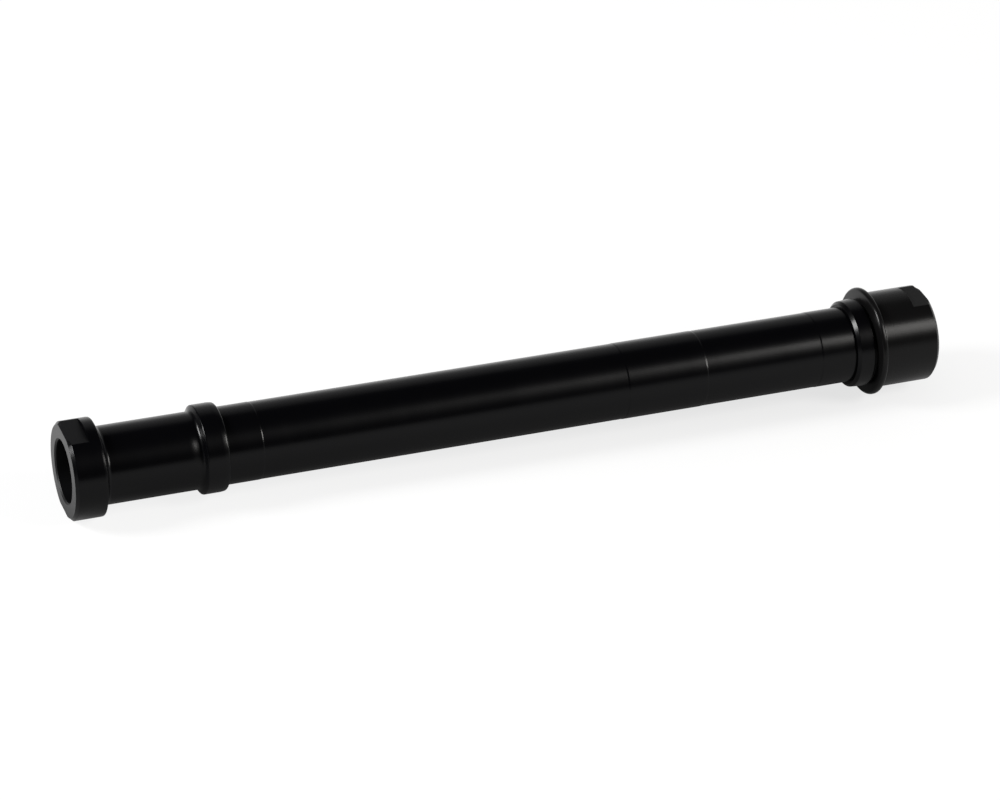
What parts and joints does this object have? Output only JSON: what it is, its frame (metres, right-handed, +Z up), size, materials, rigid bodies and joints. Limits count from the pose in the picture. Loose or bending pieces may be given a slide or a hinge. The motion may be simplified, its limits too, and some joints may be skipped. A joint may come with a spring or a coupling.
{
  "type": "bicycle hub axle",
  "caption": "Hollow turned hub axle for a rear wheel on a thru axle: stepped bearing seats, a stop collar and wrench flats at both ends, with a screwed drive-side cap.",
  "frame": {"origin": "on the axle's axis, halfway between its two end faces", "axes": "+X along the axle towards the drive side, +Z up, with the wrench flats facing up and down"},
  "size_m": [0.177, 0.0216, 0.0216],
  "materials": {
    "spindle_anodise": "turned aluminium, glossy black anodised",
    "cap_anodise": "turned aluminium, glossy black anodised"
  },
  "bodies": {
    "root": {"spindle": "spindle_anodise", "drive_end_cap": "cap_anodise"}
  },
  "joints": []
}
